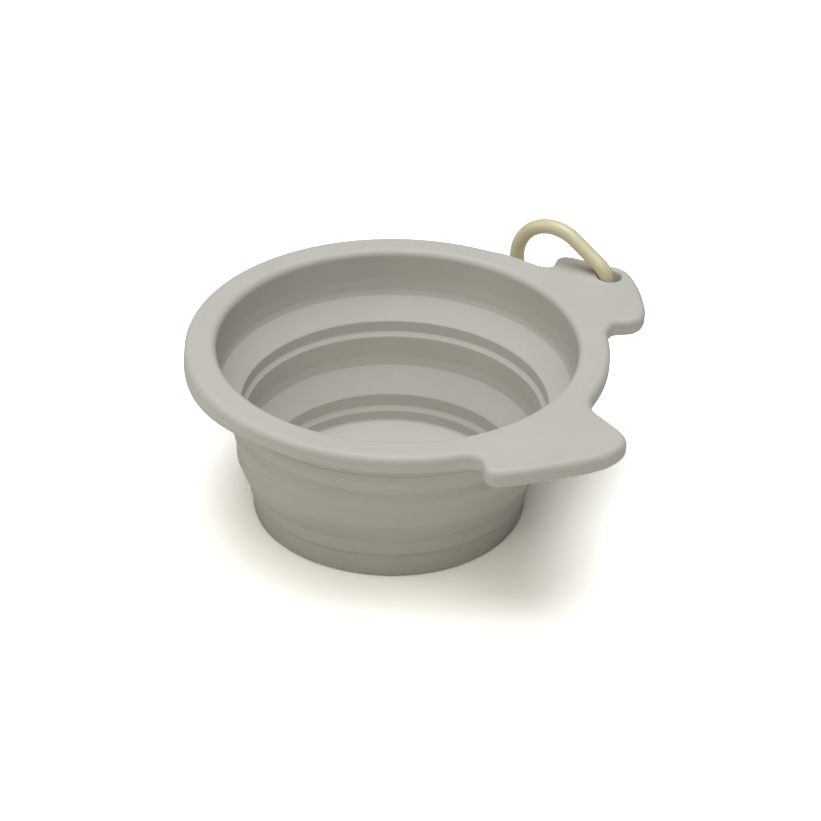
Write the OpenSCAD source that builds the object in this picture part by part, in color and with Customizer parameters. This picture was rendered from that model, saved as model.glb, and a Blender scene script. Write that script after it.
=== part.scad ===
// Collapsible silicone pet travel bowl with two ear-shaped tabs and a teardrop carabiner.
// Origin: centre of the base's underside. +Z up. +X runs midway between the two ears.

/* [Bowl] */
// Outer radius of the thick rim
rim_r = 65; // [60:0.5:75]
// Height of the rim's top face above the table
bowl_h = 58; // [56:0.5:64]
// Thickness of the rim and of the ear tabs
rim_t = 6; // [5:0.1:7]
// Inner radius of the upper wall
wall_r = 55.4; // [54.9:0.1:55.8]
// Rounding of the rim's outer edges
edge_r = 1.9; // [0.8:0.1:2.3]
// Rounding of the rim's inner top edge
lip_r = 2.2; // [1:0.1:2.6]
// Thickness of the bowl's floor
floor_t = 3.4; // [2.2:0.1:3.9]

/* [Ears] */
// Angle from the symmetry axis to the ear's tip
tip_ang = 25.8; // [23:0.1:28]
// Reach of the ear's tip from the bowl's centre
tip_r = 83.6; // [80:0.1:86]
// Angle from the symmetry axis to the ear's back corner
corner_ang = 59; // [56:0.1:61]
// Reach of the back corner from the bowl's centre
corner_r = 75; // [72:0.1:77]
// Crown of the plain ear's outer edge
plain_crown = 3; // [1:0.1:5]
// Crown of the drilled ear's outer edge, which leaves material round the hole
drilled_crown = 10; // [9:0.1:12]
// Diameter of the carabiner's hole
hole_d = 7.6; // [6.8:0.1:8.4]
// Reach of the hole from the bowl's centre
hole_r = 79.5; // [79:0.1:80.2]
// Angle of the hole from the symmetry axis
hole_ang = 42.9; // [42:0.1:44]

/* [Carabiner] */
// Diameter of the bent rod
rod_d = 4.4; // [4:0.1:4.6]
// Bend radius of the narrow end, to the rod's centre
narrow_r = 6.5; // [6.3:0.1:7]
// Bend radius of the wide end, to the rod's centre
wide_r = 14; // [13.6:0.1:14.4]
// Distance between the two bend centres
centre_gap = 13.3; // [13:0.1:14]
// Heading of the carabiner's plane about the hole
heading = 156.2; // [150:0.5:162]
// Diameter of the gate's rivet
rivet_d = 1.8; // [1.5:0.1:2]

/* [Hidden] */
$fn = 96;

silicone = [0.76, 0.745, 0.71];
fold_c = [0.70, 0.69, 0.65];
cream = [0.84, 0.81, 0.66];
steel = [0.72, 0.72, 0.70];

// ---- heights of the folds, measured down from the rim's top
z_a = bowl_h - 15.6;   // top of the upper fold
z_b = bowl_h - 21.6;   // bottom of the upper fold
z_c = bowl_h - 37.1;   // top of the lower fold
z_d = bowl_h - 45.15;  // bottom of the lower fold
z_u = bowl_h - rim_t;  // underside of the rim

function arcp(cx, cz, r, a0, a1, n) =
    [for (i = [0:n]) let (a = a0 + (a1 - a0) * i / n) [cx + r * cos(a), cz + r * sin(a)]];
function pol(a, r) = [r * cos(a), r * sin(a)];
function bez(p0, p1, p2, n) =
    [for (i = [0:n]) let (t = i / n) (1 - t) * (1 - t) * p0 + 2 * t * (1 - t) * p1 + t * t * p2];
function unit(v) = v / norm(v);

// ---- the rim's section, from the upper fold's crease to the lip
module rim_section() {
    polygon(concat(
        [[wall_r - 1, z_a], [wall_r - 0.35, z_a + 2.6], [wall_r, z_a + 5.6]],
        arcp(wall_r + lip_r, bowl_h - lip_r, lip_r, 180, 90, 6),
        arcp(rim_r - edge_r, bowl_h - edge_r, edge_r, 90, 0, 5),
        arcp(rim_r - edge_r, z_u + edge_r, edge_r, 0, -90, 5),
        arcp(wall_r + 3.6, z_u - 1.5, 1.5, 90, 180, 3),
        [[wall_r + 2.1, z_a + 1.45], [wall_r + 1.85, z_a + 1.2], [wall_r + 2.1, z_a + 0.95], [wall_r + 2.1, z_a]]));
}

// ---- outline of one ear in the plane, on the +Y side
function ear_mid(t, c, k) = (t + c) / 2 + 2 * k * unit([t[1] - c[1], -(t[0] - c[0])]) * -1;
function ear_outline(crown) =
    let (t = pol(tip_ang, tip_r), c = pol(corner_ang, corner_r),
         root0 = pol(tip_ang - 3.4, rim_r - 4), root1 = pol(corner_ang + 0.4, rim_r - 4),
         out = unit([c[1] - t[1], -(c[0] - t[0])]),
         m = (t + c) / 2 + 2 * crown * out,
         e = bez(t, m, c, 16),
         t_in = t + 3.6 * unit(root0 - t), c_in = c + 3.6 * unit(root1 - c))
    concat([root0], bez(t_in, t, e[2], 4), [for (i = [3:13]) e[i]], bez(e[14], c, c_in, 4), [root1],
           [pol(corner_ang, rim_r - 8), pol(tip_ang - 2, rim_r - 8)]);
// moves an outline's points inward by d
function inset(p, d) = let (n = len(p))
    [for (i = [0:n - 1]) let (a = p[(i + n - 1) % n], b = p[(i + 1) % n], v = unit(b - a)) p[i] + d * [-v[1], v[0]]];

module ear_plate(crown) {
    o = ear_outline(crown);
    steps = [[0, 0.62, 1.1], [0.62, 1.3, 0.45], [1.3, rim_t - 1.3, 0], [rim_t - 1.3, rim_t - 0.62, 0.45], [rim_t - 0.62, rim_t, 1.1]];
    for (s = steps)
        translate([0, 0, z_u + s[0]]) linear_extrude(height = s[1] - s[0]) polygon(inset(o, s[2]));
}

module rim_ring() {
    color(silicone) difference() {
        union() {
            rotate_extrude() rim_section();
            difference() {
                union() {
                    ear_plate(drilled_crown);
                    mirror([0, 1, 0]) ear_plate(plain_crown);
                }
                translate([0, 0, z_u - 1]) cylinder(r = rim_r - 6.5, h = rim_t + 2);
            }
        }
        translate([hole_r * cos(hole_ang), hole_r * sin(hole_ang), 0]) {
            translate([0, 0, z_u - 1]) cylinder(d = hole_d, h = rim_t + 2);
            translate([0, 0, bowl_h - 0.8]) cylinder(d1 = hole_d, d2 = hole_d + 2.4, h = 1.2);
            translate([0, 0, z_u - 0.4]) cylinder(d1 = hole_d + 2.4, d2 = hole_d, h = 1.2);
        }
    }
}

// ---- thin conical fold between the rim and the middle ring
module upper_fold() {
    color(fold_c) rotate_extrude()
        polygon([[wall_r - 7.4, z_b], [wall_r - 4.3, z_b], [wall_r + 2.1, z_a - 0.4], [wall_r + 2.1, z_a], [wall_r - 1, z_a]]);
}

// ---- stiff ring between the folds, with a thicker band at its top
module middle_ring() {
    color(silicone) rotate_extrude()
        polygon([[wall_r - 7.4, z_b], [wall_r - 7.7, z_b - 4.2], [wall_r - 8.9, z_b - 5.4], [wall_r - 9.1, z_c + 3.2],
                 [wall_r - 9.7, z_c], [wall_r - 7.1, z_c], [wall_r - 6.4, z_c + 0.9], [wall_r - 6.3, z_b - 7.4],
                 [wall_r - 5, z_b - 5.2], [wall_r - 5, z_b - 0.7], [wall_r - 4.3, z_b]]);
}

// ---- thin conical fold between the middle ring and the base
module lower_fold() {
    color(fold_c) rotate_extrude()
        polygon([[wall_r - 15.4, z_d], [wall_r - 12.8, z_d], [wall_r - 7.1, z_c], [wall_r - 9.7, z_c]]);
}

// ---- base cup: floor, foot and the band that carries the lower fold
module base_cup() {
    r = wall_r - 15.4;
    color(silicone) rotate_extrude()
        polygon([[0, 0], [r + 1.2, 0], [r + 2, 0.8], [r + 2.2, z_d - 5.65], [r + 3.2, z_d - 4.05], [r + 3.2, z_d - 0.65],
                 [r + 2.6, z_d], [r, z_d], [r - 0.2, z_d - 4.45], [r - 1.4, z_d - 6.25], [r - 1.6, floor_t + 1],
                 [r - 2.6, floor_t], [0, floor_t]]);
}

// ---- carabiner, drawn flat: x along the loop, y up, the hole's axis on x = 0
rod_r = rod_d / 2;
cb = [narrow_r - 0.5, -2.4];                    // centre of the narrow bend
ca = cb + [centre_gap, -0.6];                   // centre of the wide bend
lean = atan2(ca[1] - cb[1], ca[0] - cb[0]);
flare = asin((wide_r - narrow_r) / norm(ca - cb));
up_a = lean + flare;                            // slope of the upper leg
lo_a = lean - flare;                            // slope of the lower leg
leg = sqrt(pow(norm(ca - cb), 2) - pow(wide_r - narrow_r, 2));
lo_dir = [cos(lo_a), sin(lo_a)];
lo_b = cb + narrow_r * [sin(lo_a), -cos(lo_a)]; // where the narrow bend meets the lower leg
hinge = lo_b + 2.4 * lo_dir;                    // the gate's pivot
nose_a = -62;                                   // angle of the nose on the wide bend
nose = ca + wide_r * [cos(nose_a), sin(nose_a)];
reach = norm(nose - hinge);                     // pivot to nose
swing_a = atan2(nose[1] - hinge[1], nose[0] - hinge[0]);
pin_reach = reach - 1.6;
cam_off = 0.9;                                  // eccentricity of the tongue, which moves the plunger

module place() {
    translate([hole_r * cos(hole_ang), hole_r * sin(hole_ang), bowl_h]) rotate([90, 0, heading]) children();
}
module bend(c, r, a0, a1) {
    translate([c[0], c[1], 0]) rotate([0, 0, a0]) rotate_extrude(angle = a1 - a0) translate([r, 0]) circle(r = rod_r, $fn = 48);
}
module straight(p, a, l, d = 0) {
    translate([p[0], p[1], 0]) rotate([0, 0, a]) rotate([0, 90, 0]) cylinder(r = rod_r - d, h = l, $fn = 48);
}
module disc(c, r, h) { translate([c[0], c[1], -h / 2]) cylinder(r = r, h = h); }
// a point of the wide bend that lies pin_reach from the pivot
function on_bend(d, lo, hi, n) = let (m = (lo + hi) / 2, p = ca + wide_r * [cos(m), sin(m)])
    n == 0 ? m : (norm(p - hinge) > d ? on_bend(d, lo, m, n - 1) : on_bend(d, m, hi, n - 1));
pin_a = on_bend(pin_reach, -110, -50, 24);
pin_p = ca + wide_r * [cos(pin_a), sin(pin_a)];

module carabiner_frame() {
    color(cream) place() difference() {
        union() {
            // the nose's shoulder is cut to an arc about the pivot, so the gate can pass it
            difference() {
                bend(ca, wide_r, nose_a - 12, up_a + 90);
                intersection() {
                    disc(hinge, reach + 0.12, rod_d + 2);
                    translate([nose[0], nose[1], 0]) rotate([0, 0, nose_a]) translate([-5, -9, -4]) cube([10, 13, 8]);
                }
            }
            bend(cb, narrow_r, up_a + 90, lo_a + 270);
            straight(cb + narrow_r * [-sin(up_a), cos(up_a)] - 0.4 * [cos(up_a), sin(up_a)], up_a, leg + 0.8, 0.01);
            // flat tongue at the nose
            difference() {
                translate([ca[0], ca[1], -0.8]) rotate([0, 0, nose_a - 20]) rotate_extrude(angle = 26)
                    translate([wide_r - 1.4, 0]) square([2.8, 1.6]);
                disc(hinge, reach - 2.9, 4);
            }
            // flat tongue at the pivot, eccentric so that it works the plunger
            disc(hinge + cam_off * [-lo_dir[1], lo_dir[0]], 2, 1.6);
            translate([lo_b[0], lo_b[1], 0]) rotate([0, 0, lo_a]) translate([-0.9, -0.9, -0.8]) cube([2.9, 3.2, 1.6]);
        }
        disc(hinge, rivet_d / 2, 10);
        disc(pin_p, 0.7, 10);
    }
}

module carabiner_gate() {
    color(cream) place() difference() {
        union() {
            straight(hinge, lo_a, leg - 2.0, 0.08);
            // rounded end about the pivot
            translate([hinge[0], hinge[1], 0]) sphere(r = rod_r - 0.04, $fn = 48);
            intersection() {
                bend(ca, wide_r, lo_a - 90, nose_a + 8);
                disc(hinge, reach - 0.12, rod_d + 2);
            }
        }
        // fork at the pivot
        translate([hinge[0], hinge[1], 0]) rotate([0, 0, lo_a]) translate([-4, -4, -0.9]) cube([7.3, 8, 1.8]);
        disc(hinge, rivet_d / 2 + 0.07, 10);
        // bore for the plunger and the spring
        translate([hinge[0], hinge[1], 0]) rotate([0, 0, lo_a]) translate([2, 0, 0]) rotate([0, 90, 0]) cylinder(r = 1.2, h = 6.2, $fn = 32);
        // slot for the nose's tongue
        difference() {
            disc(hinge, reach + 4, 1.9);
            disc(hinge, reach - 3.2, 4);
        }
        // channel that lets the nose pin leave on the outer side
        translate([hinge[0], hinge[1], -1.75]) rotate([0, 0, atan2(pin_p[1] - hinge[1], pin_p[0] - hinge[0]) - 14])
            rotate_extrude(angle = 16.8) translate([pin_reach - 0.85, 0]) square([1.7, 3.5]);
    }
}

module gate_rivet() {
    color(steel) place() {
        disc(hinge, rivet_d / 2, 4.6);
        for (s = [-1, 1]) translate([0, 0, s * 2.45]) disc(hinge, 1.35, 0.3);
    }
}

module nose_pin() {
    color(steel) place() disc(pin_p, 0.7, 3.2);
}

// closed coil of round wire along +Z
module coil(r, w, pitch, turns, n = 18, k = 8) {
    m = n * turns;
    pts = [for (i = [0:m]) let (a = 360 * i / n, z = pitch * i / n)
              for (j = [0:k - 1]) let (b = 360 * j / k) [(r + w * cos(b)) * cos(a), (r + w * cos(b)) * sin(a), z + w * sin(b)]];
    sides = [for (i = [0:m - 1]) for (j = [0:k - 1]) let (a = i * k + j, b = i * k + (j + 1) % k)
                each [[a, b + k, b], [a, a + k, b + k]]];
    caps = concat([for (j = [1:k - 2]) [0, j, j + 1]], [for (j = [1:k - 2]) [m * k, m * k + j + 1, m * k + j]]);
    polyhedron(points = pts, faces = concat(sides, caps));
}

module gate_spring() {
    color(steel) place() translate([hinge[0], hinge[1], 0]) rotate([0, 0, lo_a]) translate([4.85, 0, 0]) rotate([0, 90, 0])
        coil(0.85, 0.2, 0.62, 5);
}

module spring_plunger() {
    color(steel) place() translate([hinge[0], hinge[1], 0]) rotate([0, 0, lo_a]) translate([2.03, 0, 0]) rotate([0, 90, 0])
        cylinder(r = 1.13, h = 2.6, $fn = 32);
}

rim_ring();
upper_fold();
middle_ring();
lower_fold();
base_cup();
carabiner_frame();
carabiner_gate();
gate_rivet();
nose_pin();
gate_spring();
spring_plunger();
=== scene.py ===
import bpy
import math
import numpy as np
from mathutils import Matrix, Vector
from mathutils.geometry import delaunay_2d_cdt


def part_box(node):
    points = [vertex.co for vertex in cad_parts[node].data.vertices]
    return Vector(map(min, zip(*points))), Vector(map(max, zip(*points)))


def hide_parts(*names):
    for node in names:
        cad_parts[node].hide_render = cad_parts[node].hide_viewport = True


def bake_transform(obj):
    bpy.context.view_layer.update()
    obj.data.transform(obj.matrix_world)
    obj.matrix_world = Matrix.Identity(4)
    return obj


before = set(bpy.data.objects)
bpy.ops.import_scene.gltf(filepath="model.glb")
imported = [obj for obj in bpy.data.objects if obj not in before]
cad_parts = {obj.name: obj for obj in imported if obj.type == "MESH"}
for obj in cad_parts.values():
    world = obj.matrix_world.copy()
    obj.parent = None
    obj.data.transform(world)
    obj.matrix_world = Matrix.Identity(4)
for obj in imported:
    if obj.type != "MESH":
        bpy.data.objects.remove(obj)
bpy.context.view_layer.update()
S = 0.001  # the numbers below are millimetres

# ------------------------------------------------------------------ the frame's own sizes, in millimetres
def mm(node):
    lo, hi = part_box(node)
    return np.array(lo) * 1000, np.array(hi) * 1000

rim_lo, rim_hi = mm("rim_ring")
uf_lo, uf_hi = mm("upper_fold")
lf_lo, lf_hi = mm("lower_fold")
R = -rim_lo[0]                 # outer radius of the rim
H = rim_hi[2]                  # top face of the rim
ZA, ZB = uf_hi[2], uf_lo[2]    # upper fold
ZC, ZD = lf_hi[2], lf_lo[2]    # lower fold
T = 6.0                        # thickness of the rim and the ears
W = R - 9.6                    # inner radius of the upper wall
FE, FL = 1.9, 2.2              # outer edge and inner lip rounding
HOLE = np.array([59.1, 53.1])
HOLE_R = 3.8

# ------------------------------------------------------------------ small geometry helpers
def unit(v):
    v = np.asarray(v, float)
    return v / np.linalg.norm(v)


def rounded(points, seg=1.2):
    """Polyline through [(x, y, radius)], each inner corner replaced by an arc of that radius, in steps of at most seg."""
    out = [np.array(points[0][:2], float)]
    for i in range(1, len(points) - 1):
        p, a, b = (np.array(points[k][:2], float) for k in (i, i - 1, i + 1))
        r = points[i][2]
        u, v = unit(a - p), unit(b - p)
        c = float(np.clip(u @ v, -1, 1))
        ang = math.acos(c)
        if r <= 0 or ang > math.pi - 0.02:
            out.append(p)
            continue
        d = min(r / math.tan(ang / 2), 0.48 * np.linalg.norm(a - p), 0.48 * np.linalg.norm(b - p))
        r = d * math.tan(ang / 2)
        centre = p + unit(u + v) * (r / math.sin(ang / 2))
        s, e = p + u * d, p + v * d
        a0 = math.atan2(*(s - centre)[::-1])
        a1 = math.atan2(*(e - centre)[::-1])
        da = (a1 - a0 + math.pi) % (2 * math.pi) - math.pi
        n = max(3, int(abs(da) / math.radians(15)) + 1)
        for k in range(n + 1):
            t = a0 + da * k / n
            out.append(centre + r * np.array([math.cos(t), math.sin(t)]))
    out.append(np.array(points[-1][:2], float))
    # split long steps
    fine = [out[0]]
    for p in out[1:]:
        q = fine[-1]
        m = max(1, int(math.ceil(np.linalg.norm(p - q) / seg)))
        for k in range(1, m + 1):
            fine.append(q + (p - q) * k / m)
    return np.array(fine)


class Mesh:
    def __init__(self):
        self.v, self.f = [], []

    def ring(self, pts):
        i = len(self.v)
        self.v.extend([tuple(p) for p in pts])
        return list(range(i, i + len(pts)))

    def bridge(self, a, b, flip=False):
        n = len(a)
        for i in range(n):
            j = (i + 1) % n
            q = (a[i], a[j], b[j], b[i])
            self.f.append(q[::-1] if flip else q)

    def fan(self, ring, centre, flip=False):
        c = len(self.v)
        self.v.append(tuple(centre))
        for i in range(len(ring)):
            q = (ring[i], ring[(i + 1) % len(ring)], c)
            self.f.append(q[::-1] if flip else q)

    def flat(self, outer, holes, z, spacing, up=True):
        """Fills the flat face between closed rings at one height, with evenly spread inner points."""
        loops = [outer] + holes
        pts, edges, idx = [], [], []
        for loop in loops:
            s = len(pts)
            for k, i in enumerate(loop):
                pts.append(self.v[i][:2])
                idx.append(i)
                edges.append((s + k, s + (k + 1) % len(loop)))
        polys = [np.array([self.v[i][:2] for i in loop]) for loop in loops]
        lo, hi = polys[0].min(0), polys[0].max(0)
        rows = []
        for row, y in enumerate(np.arange(lo[1], hi[1], spacing * 0.866)):
            xs = np.arange(lo[0] + (row % 2) * spacing / 2, hi[0], spacing)
            rows.append(np.stack([xs, np.full(len(xs), y)], 1))
        extra = np.vstack(rows)
        extra = extra[inside(extra, polys[0])]
        for p in polys[1:]:
            extra = extra[~inside(extra, p)]
        for p in polys:
            extra = extra[near(extra, p) > spacing * 0.6]
        pts += extra.tolist()
        verts, _, faces, orig, _, _ = delaunay_2d_cdt([Vector(p) for p in pts], edges, [], 1, 1e-7)
        remap = []
        for k, v in enumerate(verts):
            o = [a for a in orig[k] if a < len(idx)]
            if o:
                remap.append(idx[o[0]])
            else:
                remap.append(len(self.v))
                self.v.append((v.x, v.y, z))
        vv = np.array([(v.x, v.y) for v in verts])
        middle = np.array([vv[list(fc)].mean(0) for fc in faces])
        keep = np.ones(len(faces), bool)
        for p in polys[1:]:
            keep &= ~inside(middle, p)
        for fc, k in zip(faces, keep):
            if not k:
                continue
            a, b, c = vv[list(fc[:3])]
            ccw = (b[0] - a[0]) * (c[1] - b[1]) - (b[1] - a[1]) * (c[0] - b[0]) > 0
            q = [remap[i] for i in fc]
            self.f.append(tuple(q if ccw == up else q[::-1]))

    def build(self, name, sharp=()):
        """sharp holds the rings whose edges keep their crease."""
        me = bpy.data.meshes.new(name)
        me.from_pydata([(x * S, y * S, z * S) for x, y, z in self.v], [], self.f)
        me.update()
        me.polygons.foreach_set("use_smooth", [True] * len(me.polygons))
        crease = np.full(len(self.v), -1)
        for k, ring in enumerate(sharp):
            crease[ring] = k
        ends = np.zeros(len(me.edges) * 2, int)
        me.edges.foreach_get("vertices", ends)
        a, b = crease[ends[0::2]], crease[ends[1::2]]
        flags = me.attributes.get("sharp_edge") or me.attributes.new("sharp_edge", "BOOLEAN", "EDGE")
        flags.data.foreach_set("value", (a >= 0) & (a == b))
        ob = bpy.data.objects.new(name, me)
        bpy.context.scene.collection.objects.link(ob)
        return ob


def inside(p, poly):
    x, y = p[:, 0], p[:, 1]
    r = np.zeros(len(p), bool)
    a, b = poly, np.roll(poly, -1, 0)
    for (x0, y0), (x1, y1) in zip(a, b):
        if y0 == y1:
            continue
        c = ((y0 > y) != (y1 > y)) & (x < (x1 - x0) * (y - y0) / (y1 - y0) + x0)
        r ^= c
    return r


def near(p, poly):
    d = np.full(len(p), 1e9)
    for q in poly:
        d = np.minimum(d, np.hypot(p[:, 0] - q[0], p[:, 1] - q[1]))
    return d


def circle(r, z, n, c=(0.0, 0.0)):
    a = np.arange(n) * 2 * math.pi / n
    return np.stack([c[0] + r * np.cos(a), c[1] + r * np.sin(a), np.full(n, z)], 1)


# ------------------------------------------------------------------ plan outline of the rim with its two ears
def hermite(p0, t0, p1, t1, n):
    k = np.linspace(0, 1, n)[:, None]
    d = np.linalg.norm(np.array(p1) - np.array(p0)) * 1.0
    h = (2 * k**3 - 3 * k**2 + 1) * p0 + (k**3 - 2 * k**2 + k) * (unit(t0) * d) + (-2 * k**3 + 3 * k**2) * p1 + (k**3 - k**2) * (unit(t1) * d)
    return h


def resample(p, step):
    d = np.r_[0, np.cumsum(np.linalg.norm(np.diff(p, axis=0), axis=1))]
    n = max(2, int(round(d[-1] / step)) + 1)
    s = np.linspace(0, d[-1], n)
    return np.stack([np.interp(s, d, p[:, 0]), np.interp(s, d, p[:, 1])], 1)


def spline(pts, n=12):
    pts = np.array(pts, float)
    q = np.vstack([2 * pts[0] - pts[1], pts, 2 * pts[-1] - pts[-2]])
    out = []
    for i in range(1, len(q) - 2):
        t = np.linspace(0, 1, n, endpoint=False)[:, None]
        out.append(0.5 * (2 * q[i] + (q[i + 1] - q[i - 1]) * t + (2 * q[i - 1] - 5 * q[i] + 4 * q[i + 1] - q[i + 2]) * t**2 + (-q[i - 1] + 3 * q[i] - 3 * q[i + 1] + q[i + 2]) * t**3))
    out.append(pts[-1:])
    return np.vstack(out)


def join(a, b, la, lb):
    """Joins curve a to curve b, with la of a's end and lb of b's start replaced by one smooth turn."""
    da = np.r_[0, np.cumsum(np.linalg.norm(np.diff(a, axis=0), axis=1))]
    db = np.r_[0, np.cumsum(np.linalg.norm(np.diff(b, axis=0), axis=1))]
    a = a[da <= da[-1] - la]
    b = b[db >= lb]
    return np.vstack([a[:-1], hermite(a[-1], a[-1] - a[-3], b[0], b[2] - b[0], 16), b[1:]])


def pol(a, r):
    return np.array([r * math.cos(math.radians(a)), r * math.sin(math.radians(a))])


def ear_curves(root0, tip, edge, corner, root1):
    back = resample(np.array([root0, tip]), 0.2)
    outer = resample(spline([tip] + edge + [corner]), 0.2)
    side = resample(np.array([corner, root1]), 0.2)
    return back, outer, side


STEP = 0.2
# The soft bowl doesn't stand perfectly true: its rim sits a little to the right and back of its base.
LEAN = np.array([0.40, 1.20])
drilled = spline(np.array([
    (62.9, 21.4), (63.3, 23.6), (63.9, 25.5), (65.2, 26.6), (67.6, 27.3), (70.2, 28.4), (72.1, 30.6), (72.9, 33.6), (72.8, 37.2),
    (71.6, 42.6), (70.2, 47.8), (68.3, 52.8), (66.4, 56.3), (64.0, 59.1), (61.6, 60.5), (58.8, 61.5), (54.5, 62.7),
    (49.6, 64.1), (46.2, 64.9), (43.9, 64.9), (42.1, 64.1), (41.2, 62.4), (41.0, 59.9), (40.7, 57.9), (39.4, 56.8),
    (36.8, 57.1), (33.9, 58.3), (29.9, 60.3), (25.2, 62.2)]) - LEAN)
plain = spline(np.array([
    (31.6, -56.2), (33.9, -55.9), (35.4, -56.5), (36.3, -58.2), (36.9, -60.4), (37.7, -62.3), (39.3, -63.4), (41.8, -63.2),
    (45.2, -62.0), (49.4, -60.1), (53.8, -57.8), (58.3, -55.4), (62.7, -53.0), (67.2, -50.2), (70.9, -47.2), (73.4, -43.8),
    (74.8, -40.6), (74.9, -38.6), (74.0, -36.3), (72.0, -33.6), (69.4, -31.1), (66.6, -28.3), (64.2, -25.8), (63.1, -23.9),
    (62.9, -21.6)]) - LEAN)


def arc(a0, a1):
    n = int(abs(a1 - a0) / 360 * 2 * math.pi * R / STEP)
    return np.array([pol(a, R) for a in np.linspace(a0, a1, n)])


def turn(a, b):
    return np.vstack([a[:-1], hermite(a[-1], a[-1] - a[-3], b[0], b[2] - b[0], 24), b[1:]])


loop = turn(resample(plain, STEP), arc(-17.0, 17.0))
loop = turn(loop, resample(drilled, STEP))
loop = turn(loop, arc(74.0, 296.0))
bridge = hermite(loop[-1], loop[-1] - loop[-3], plain[0], plain[2] - plain[0], 24)
loop = np.vstack([loop, bridge[1:-1]])
loop = loop[np.r_[True, np.linalg.norm(np.diff(loop, axis=0), axis=1) > 0.02]]
loop = resample(np.vstack([loop, loop[:1]]), 0.55)[:-1]


def smooth_loop(p, it):
    for _ in range(it):
        p = 0.25 * np.roll(p, 1, 0) + 0.5 * p + 0.25 * np.roll(p, -1, 0)
    return p


loop = smooth_loop(loop, 6)
tan = np.roll(loop, -1, 0) - np.roll(loop, 1, 0)
tan /= np.linalg.norm(tan, axis=1)[:, None]
nrm = np.stack([tan[:, 1], -tan[:, 0]], 1)      # points outward on a counter-clockwise loop


# the edge rounding is smaller where the outline runs close to the hole
HR = 0.9
EDGE = np.clip((np.linalg.norm(loop - HOLE, axis=1) - HOLE_R - HR - 0.75) / (FE + 0.25), 0.35, 1.0)
for _ in range(12):
    EDGE = 0.25 * np.roll(EDGE, 1) + 0.5 * EDGE + 0.25 * np.roll(EDGE, -1)


def offset(d):
    return loop - nrm * (d * EDGE)[:, None]


# ------------------------------------------------------------------ piece 1: rim, ears, upper wall and upper fold
N = 320
S_IN = np.array([W - 7.4, ZB])
S_OUT = np.array([W - 4.9, ZB - 0.7])

inner = rounded([
    (S_IN[0], S_IN[1], 0),
    (W - 1.05, ZA - 0.15, 0.35),
    (W - 0.45, ZA + 1.6, 3.0),
    (W - 0.05, ZA + 5.6, 9.0),
    (W, H - FL, 0)], 1.0)
lip = np.array([[W + FL - FL * math.cos(a), H - FL + FL * math.sin(a)] for a in np.linspace(0, math.pi / 2, 12)[1:]])
under = rounded([
    (W + 3.9, H - T, 0),
    (W + 2.15, H - T, 1.5),
    (W + 2.1, ZA + 4.55, 0.12),
    (W + 1.96, ZA + 4.3, 0.12),
    (W + 2.12, ZA + 4.05, 0.12),
    (W + 2.1, ZA + 1.1, 0.9),
    (S_OUT[0], S_OUT[1], 0)], 1.0)

m = Mesh()
rings = [m.ring(circle(r, z, N)) for r, z in inner]
rings += [m.ring(circle(r, z, N)) for r, z in lip]
for a, b in zip(rings, rings[1:]):
    m.bridge(a, b, flip=True)
lip_ring = rings[-1]
support = m.ring(circle(W + FL + 0.25, H, N))
m.bridge(lip_ring, support, flip=True)

# outer edge: top rounding, side with its parting line, bottom rounding
profile = [(FE + 0.25, H), (FE, H)]
profile += [(FE - FE * math.sin(a), H - FE + FE * math.cos(a)) for a in np.linspace(0, math.pi / 2, 9)[1:]]
zc = H - T / 2
profile += [(0.0, zc + 0.38), (0.015, zc + 0.2), (0.07, zc + 0.06), (0.07, zc - 0.06), (0.015, zc - 0.2), (0.0, zc - 0.38)]
profile += [(FE - FE * math.cos(a), H - T + FE - FE * math.sin(a)) for a in np.linspace(0, math.pi / 2, 9)]
profile += [(FE + 0.25, H - T)]
outer = []
for d, z in profile:
    p = offset(d)
    # the rounding keeps its shape where it is smaller
    zz = np.full(len(p), z) if abs(z - zc) < 1.0 else np.where(z > zc, H - (H - z) * EDGE, H - T + (z - H + T) * EDGE)
    outer.append(m.ring(np.c_[p, zz]))
for a, b in zip(outer, outer[1:]):
    m.bridge(a, b, flip=True)

# the hole in the drilled ear, with rounded edges
NH = 56
hr = HR
hole_prof = [(HOLE_R + hr + 0.2, H)] + [(HOLE_R + hr - hr * math.sin(a), H - hr + hr * math.cos(a)) for a in np.linspace(0, math.pi / 2, 7)]
hole_prof += [(HOLE_R, zc)]
hole_prof += [(HOLE_R + hr - hr * math.cos(a), H - T + hr - hr * math.sin(a)) for a in np.linspace(0, math.pi / 2, 7)] + [(HOLE_R + hr + 0.2, H - T)]
hole = [m.ring(circle(r, z, NH, HOLE)) for r, z in hole_prof]
for a, b in zip(hole, hole[1:]):
    m.bridge(a, b)

under_rings = [m.ring(circle(r, z, N)) for r, z in under]
for a, b in zip(under_rings, under_rings[1:]):
    m.bridge(a, b, flip=True)
u_support = m.ring(circle(W + 4.15, H - T, N))
m.bridge(u_support, under_rings[0], flip=True)

m.flat(outer[0], [support, hole[0]], H, 2.2, up=True)
m.flat(outer[-1], [u_support, hole[-1]], H - T, 2.6, up=False)
m.bridge(under_rings[-1], rings[0], flip=True)   # seam face against the lower piece
bowl_upper = m.build("bowl_rim_and_upper_fold", sharp=(rings[0], under_rings[-1]))

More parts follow.
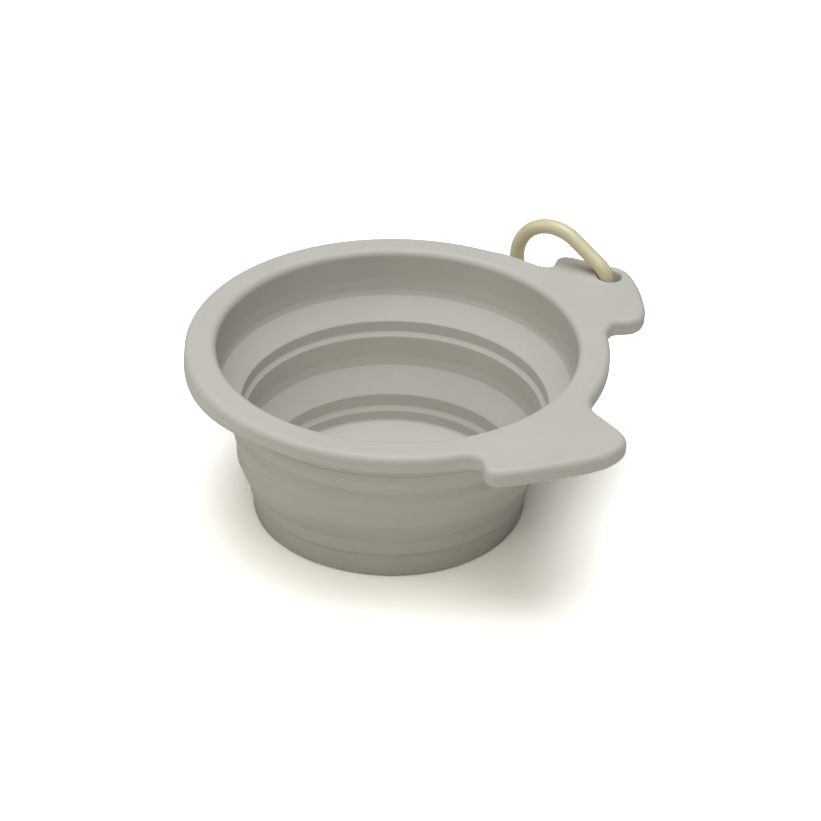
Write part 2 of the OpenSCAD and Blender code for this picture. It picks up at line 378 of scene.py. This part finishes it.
# ------------------------------------------------------------------ piece 2: middle ring, lower fold and base cup
FLOOR = 3.4
inner2 = rounded([
    (S_IN[0], S_IN[1], 0),
    (W - 7.62, ZB - 0.25, 0.3),
    (W - 7.75, ZB - 3.9, 0.5),
    (W - 9.0, ZB - 5.2, 0.55),
    (W - 9.15, ZC + 3.0, 5.0),
    (W - 9.7, ZC - 0.1, 0.35),
    (W - 15.4, ZD, 0.5),
    (W - 15.55, ZD - 4.2, 0.5),
    (W - 16.7, ZD - 5.7, 0.5),
    (W - 17.0, FLOOR + 0.1, 1.0),
    (W - 22.0, FLOOR, 0),
    (0.6, FLOOR, 0)], 1.0)
outer2 = rounded([
    (S_OUT[0], S_OUT[1], 0),
    (W - 4.3, ZB - 4.1, 1.3),
    (W - 7.2, ZB - 10.6, 6.0),
    (W - 7.75, ZC + 1.0, 1.0),
    (W - 12.2, ZD + 0.55, 0.35),
    (W - 12.15, ZD - 3.6, 0.6),
    (W - 13.15, ZD - 5.4, 0.9),
    (W - 13.35, 0.0, 1.0),
    (W - 16.5, 0.0, 0),
    (0.6, 0.0, 0)], 1.0)
m = Mesh()
ri = [m.ring(circle(r, z, N)) for r, z in inner2]
ro = [m.ring(circle(r, z, N)) for r, z in outer2]
for a, b in zip(ri, ri[1:]):
    m.bridge(a, b)
for a, b in zip(ro, ro[1:]):
    m.bridge(a, b, flip=True)
m.bridge(ro[0], ri[0])
m.fan(ri[-1], (0, 0, FLOOR))
m.fan(ro[-1], (0, 0, 0), flip=True)
bowl_lower = m.build("bowl_base_and_lower_fold", sharp=(ri[0], ro[0]))


def settle(ob):
    """The soft bowl's slight lean, and the base cup's slight spread on the table."""
    co = np.array([v.co for v in ob.data.vertices], float) * 1000
    t = np.clip(co[:, 2] / H, 0, 1)
    low = 1 - t
    spread = 1 + 0.012 * low * low
    co[:, 0] = co[:, 0] * spread + LEAN[0] * t**1.5 - 0.75 * low**1.5
    co[:, 1] = co[:, 1] * spread + LEAN[1] * t**1.5 - 0.10 * low**1.5
    # the walls swell and sag a little at the front left, and the rim's lower edge sags out with them
    r, z = np.hypot(co[:, 0], co[:, 1]), co[:, 2]
    ang = np.degrees(np.arctan2(co[:, 1], co[:, 0])) % 360
    g = 0.5 + 0.5 * np.cos(math.pi * np.clip(np.abs(ang - 212.0) / 65.0, 0, 1))
    f = np.interp(z, [0.0, 6.0, 10.0, 14.0, 18.0, 22.0, 27.0, 32.0], [1.20, 1.35, 1.50, 1.70, 1.90, 1.40, 0.60, 0.0]) * np.clip(r / 30.0, 0, 1)
    g2 = 0.5 + 0.5 * np.cos(math.pi * np.clip(np.abs(ang - 217.0) / 32.0, 0, 1))
    edge = np.clip((r - W - 3.9) / 3.5, 0, 1) * np.clip((H + 0.2 - z) / T, 0, 1)
    edge = edge * edge * (3 - 2 * edge)
    k = 1 + (f * g + 1.4 * edge * g2) / np.maximum(r, 1.0)
    co[:, 0] *= k
    co[:, 1] *= k
    co[:, 2] -= 0.7 * edge * g2 + 1.5 * g * np.clip(r / 30.0, 0, 1) * np.interp(z, [3.0, 10.0, 14.0, 24.0, 34.0], [0.0, 0.7, 1.0, 1.0, 0.0])
    ob.data.vertices.foreach_set("co", (co / 1000).astype(np.float32).ravel())
    ob.data.update()


def set_blend(ob, z_lo, z_hi, r_lo, r_hi):
    """Bakes the object's transform and works out a weight across a conical fold. The weight follows the fold's own
    slope, so both of its skins get the same weight; the weight is not stored on the mesh.
    """
    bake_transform(ob)
    co = np.array([v.co for v in ob.data.vertices], float) * 1000
    r, z = np.hypot(co[:, 0], co[:, 1]), co[:, 2]
    d = np.array([r_hi - r_lo, z_hi - z_lo])
    # the two skins lie to each side of the mid line
    t = ((r - r_lo) * d[0] + (z - z_lo) * d[1]) / (d @ d)
    t = np.clip(t, 0, 1)
    w = 0.8 * t + 0.2 * t * t * (3 - 2 * t)
    w[z <= z_lo - 1.4] = 0
    w[z >= z_hi + 1.4] = 1


set_blend(bowl_upper, ZB + 0.17, ZA - 0.2, W - 5.68, W + 0.5)
set_blend(bowl_lower, ZD + 0.3, ZC + 0.4, W - 13.8, W - 8.1)
settle(bowl_upper)
settle(bowl_lower)
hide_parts("rim_ring", "upper_fold")
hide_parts("middle_ring", "lower_fold", "base_cup")

# ------------------------------------------------------------------ materials
def new_material(name):
    mat = bpy.data.materials.new(name)
    mat.use_nodes = True
    nt = mat.node_tree
    for n in list(nt.nodes):
        if n.type != "OUTPUT_MATERIAL":
            nt.nodes.remove(n)
    out = next(n for n in nt.nodes if n.type == "OUTPUT_MATERIAL")
    b = nt.nodes.new("ShaderNodeBsdfPrincipled")
    nt.links.new(b.outputs[0], out.inputs[0])
    return mat, nt, b


def tex(nt, kind, vector, **values):
    n = nt.nodes.new(kind)
    nt.links.new(vector, n.inputs["Vector"])
    for k, v in values.items():
        n.inputs[k].default_value = v
    return n


def ramp(nt, value, a, b, lo, hi):
    n = nt.nodes.new("ShaderNodeMapRange")
    nt.links.new(value, n.inputs["Value"])
    n.inputs["From Min"].default_value, n.inputs["From Max"].default_value = a, b
    n.inputs["To Min"].default_value, n.inputs["To Max"].default_value = lo, hi
    return n.outputs["Result"]


def mix(nt, fac, a, b, mode="MIX"):
    n = nt.nodes.new("ShaderNodeMix")
    n.data_type = "RGBA"
    n.blend_type = mode
    for sock, v in ((0, fac), (6, a), (7, b)):
        if isinstance(v, bpy.types.NodeSocket):
            nt.links.new(v, n.inputs[sock])
        elif sock == 0:
            n.inputs[0].default_value = v
        else:
            n.inputs[sock].default_value = (*v, 1) if len(v) == 3 else v
    return n.outputs[2]


def bump(nt, height, strength, distance, normal=None):
    n = nt.nodes.new("ShaderNodeBump")
    nt.links.new(height, n.inputs["Height"])
    n.inputs["Strength"].default_value, n.inputs["Distance"].default_value = strength, distance
    if normal is not None:
        nt.links.new(normal, n.inputs["Normal"])
    return n.outputs["Normal"]


def silicone():
    mat, nt, b = new_material("silicone_warm_grey")
    pos = nt.nodes.new("ShaderNodeTexCoord").outputs["Object"]
    cloud = tex(nt, "ShaderNodeTexNoise", pos, Scale=38.0, Detail=3.0, Roughness=0.5)
    fine = tex(nt, "ShaderNodeTexNoise", pos, Scale=900.0, Detail=3.0, Roughness=0.6)
    grain = tex(nt, "ShaderNodeTexNoise", pos, Scale=4200.0, Detail=2.0, Roughness=0.5)
    base = mix(nt, ramp(nt, cloud.outputs["Fac"], 0.3, 0.7, 0, 1), (0.520, 0.503, 0.456), (0.544, 0.527, 0.480))
    base = mix(nt, ramp(nt, fine.outputs["Fac"], 0.35, 0.65, 0, 0.12), base, (0.47, 0.455, 0.41))
    nt.links.new(base, b.inputs["Base Color"])
    nt.links.new(ramp(nt, fine.outputs["Fac"], 0.3, 0.7, 0.52, 0.62), b.inputs["Roughness"])
    b.inputs["IOR"].default_value = 1.41
    b.inputs["Specular IOR Level"].default_value = 0.42
    b.inputs["Subsurface Weight"].default_value = 0.12
    b.inputs["Subsurface Radius"].default_value = (0.0016, 0.0012, 0.0008)
    b.inputs["Subsurface Scale"].default_value = 1.0
    b.inputs["Sheen Weight"].default_value = 0.05
    b.inputs["Sheen Roughness"].default_value = 0.5
    n1 = bump(nt, grain.outputs["Fac"], 0.16, 0.00006)
    n2 = bump(nt, cloud.outputs["Fac"], 0.10, 0.0008, n1)
    nt.links.new(n2, b.inputs["Normal"])
    return mat


def cream():
    mat, nt, b = new_material("cream_coated_rod")
    pos = nt.nodes.new("ShaderNodeTexCoord").outputs["Object"]
    cloud = tex(nt, "ShaderNodeTexNoise", pos, Scale=160.0, Detail=4.0, Roughness=0.6)
    peel = tex(nt, "ShaderNodeTexNoise", pos, Scale=1500.0, Detail=2.0, Roughness=0.5)
    base = mix(nt, ramp(nt, cloud.outputs["Fac"], 0.3, 0.7, 0, 1), (0.66, 0.60, 0.37), (0.72, 0.655, 0.44))
    nt.links.new(base, b.inputs["Base Color"])
    nt.links.new(ramp(nt, cloud.outputs["Fac"], 0.3, 0.7, 0.3, 0.42), b.inputs["Roughness"])
    b.inputs["Coat Weight"].default_value = 0.25
    b.inputs["Coat Roughness"].default_value = 0.25
    nt.links.new(bump(nt, peel.outputs["Fac"], 0.25, 0.00012), b.inputs["Normal"])
    return mat


def steel():
    mat, nt, b = new_material("bare_steel")
    pos = nt.nodes.new("ShaderNodeTexCoord").outputs["Object"]
    n = tex(nt, "ShaderNodeTexNoise", pos, Scale=2500.0, Detail=4.0, Roughness=0.7)
    nt.links.new(mix(nt, ramp(nt, n.outputs["Fac"], 0.3, 0.7, 0, 1), (0.50, 0.49, 0.47), (0.62, 0.61, 0.58)), b.inputs["Base Color"])
    b.inputs["Metallic"].default_value = 1.0
    nt.links.new(ramp(nt, n.outputs["Fac"], 0.3, 0.7, 0.25, 0.42), b.inputs["Roughness"])
    nt.links.new(bump(nt, n.outputs["Fac"], 0.2, 0.00005), b.inputs["Normal"])
    return mat


SILICONE, CREAM, STEEL = silicone(), cream(), steel()
for o in (bowl_upper, bowl_lower):
    o.data.materials.append(SILICONE)


def dress(node, mat, smooth=math.radians(35)):
    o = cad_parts[node]
    o.data.materials.clear()
    o.data.materials.append(mat)
    o.data.polygons.foreach_set("use_smooth", [True] * len(o.data.polygons))


for n in ("carabiner_frame", "carabiner_gate"):
    dress(n, CREAM)
    # the coating's own thickness over the rod
    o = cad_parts[n]
    w = o.modifiers.new("close", "REMESH")
    w.mode = "VOXEL"
    w.voxel_size = 0.00022
    w.use_smooth_shade = True
    d = o.modifiers.new("coating", "DISPLACE")
    d.strength, d.mid_level = 0.0002, 0.0
    c = o.modifiers.new("soften", "SMOOTH")
    c.factor, c.iterations = 0.5, 4
for n in ("gate_rivet", "nose_pin", "gate_spring", "spring_plunger"):
    dress(n, STEEL)
for n in ("rim_ring", "upper_fold", "middle_ring", "lower_fold", "base_cup"):
    dress(n, SILICONE)

# ------------------------------------------------------------------ floor, lights and camera
def floor():
    me = bpy.data.meshes.new("floor")
    s = 3.0
    me.from_pydata([(-s, -s, 0), (s, -s, 0), (s, s, 0), (-s, s, 0)], [], [(0, 1, 2, 3)])
    o = bpy.data.objects.new("floor", me)
    bpy.context.scene.collection.objects.link(o)
    mat, nt, b = new_material("pale_floor")
    pos = nt.nodes.new("ShaderNodeTexCoord").outputs["Object"]
    n = tex(nt, "ShaderNodeTexNoise", pos, Scale=6.0, Detail=2.0)
    ray = nt.nodes.new("ShaderNodeLightPath").outputs["Is Camera Ray"]
    seen = mix(nt, n.outputs["Fac"], (1.59, 1.575, 1.505), (1.61, 1.595, 1.525))
    # seen from low down, the far floor stays as pale as the near floor
    away = nt.nodes.new("ShaderNodeVectorMath")
    away.operation = "LENGTH"
    nt.links.new(pos, away.inputs[0])
    seen = mix(nt, 1.0, seen, ramp(nt, away.outputs["Value"], 0.45, 3.0, 1.0, 14.0), "MULTIPLY")
    lit = mix(nt, n.outputs["Fac"], (0.76, 0.745, 0.69), (0.78, 0.765, 0.71))
    nt.links.new(mix(nt, ray, lit, seen), b.inputs["Base Color"])
    b.inputs["Roughness"].default_value = 0.9
    b.inputs["Specular IOR Level"].default_value = 0.0
    me.materials.append(mat)
    o.location.z = -0.00002


floor()


def area(name, loc, size, power, colour=(1, 1, 1), target=(0, 0, 0.03)):
    d = bpy.data.lights.new(name, "AREA")
    d.shape = "DISK"
    d.size = size
    d.energy = power
    d.color = colour
    o = bpy.data.objects.new(name, d)
    o.location = loc
    o.rotation_euler = (Vector(target) - Vector(loc)).to_track_quat("-Z", "Y").to_euler()
    bpy.context.scene.collection.objects.link(o)


AZ, EL, ROLL, DIST = 10.2, 33.30, 1.14, 0.715
ca, sa = math.cos(math.radians(AZ)), math.sin(math.radians(AZ))


def cam_frame(x, y, z):
    """From the camera's own ground axes (x right, y away) to the row frame."""
    return (x * ca - y * sa, x * sa + y * ca, z)


area("overhead", cam_frame(0.0, 0.1, 1.9), 1.8, 32.6, (0.985, 0.995, 1.03))
area("left", cam_frame(-1.5, 0.0, 0.7), 0.9, 4.8, (1.0, 0.985, 0.92))
area("front", cam_frame(0.0, -1.5, 0.8), 0.9, 4.4, (1.0, 0.98, 0.90))
area("front_high", cam_frame(0.0, -1.1, 1.5), 0.9, 4.6, (1.0, 0.99, 0.96))

bpy.context.scene.view_settings.view_transform = "Standard"
world = bpy.data.worlds.new("studio")
bpy.context.scene.world = world
world.use_nodes = True
bg = next(n for n in world.node_tree.nodes if n.type == "BACKGROUND")
bg.inputs[0].default_value = (1.0, 0.995, 0.985, 1)
bg.inputs[1].default_value = 0.035
# the backdrop is pale to the camera only
wt = world.node_tree
backdrop = wt.nodes.new("ShaderNodeBackground")
backdrop.inputs[0].default_value = (1.0, 0.998, 0.99, 1)
backdrop.inputs[1].default_value = 1.0
either = wt.nodes.new("ShaderNodeMixShader")
wt.links.new(wt.nodes.new("ShaderNodeLightPath").outputs["Is Camera Ray"], either.inputs[0])
wt.links.new(bg.outputs[0], either.inputs[1])
wt.links.new(backdrop.outputs[0], either.inputs[2])
wt.links.new(either.outputs[0], next(n for n in wt.nodes if n.type == "OUTPUT_WORLD").inputs["Surface"])

cam = bpy.data.cameras.new("camera")
cam.sensor_width = 36.0
cam.lens = 2289.0 / 821.0 * 36.0
cam.shift_x = 16.44 / 821.0
cam.shift_y = 12.47 / 821.0
cam.clip_start, cam.clip_end = 0.01, 20
co = bpy.data.objects.new("camera", cam)
bpy.context.scene.collection.objects.link(co)
e = math.radians(EL)
target = Vector((0, 0, 0.0280))
back = Vector(cam_frame(0, -math.cos(e), 0)) + Vector((0, 0, math.sin(e)))
loc = target + back * DIST
right = Vector(cam_frame(1, 0, 0))
up = back.cross(right)
q = math.radians(ROLL)
right2 = right * math.cos(q) + up * math.sin(q)
up2 = up * math.cos(q) - right * math.sin(q)
rot = Matrix((right2, up2, back)).transposed().to_4x4()
co.matrix_world = Matrix.Translation(loc) @ rot
bpy.context.scene.camera = co
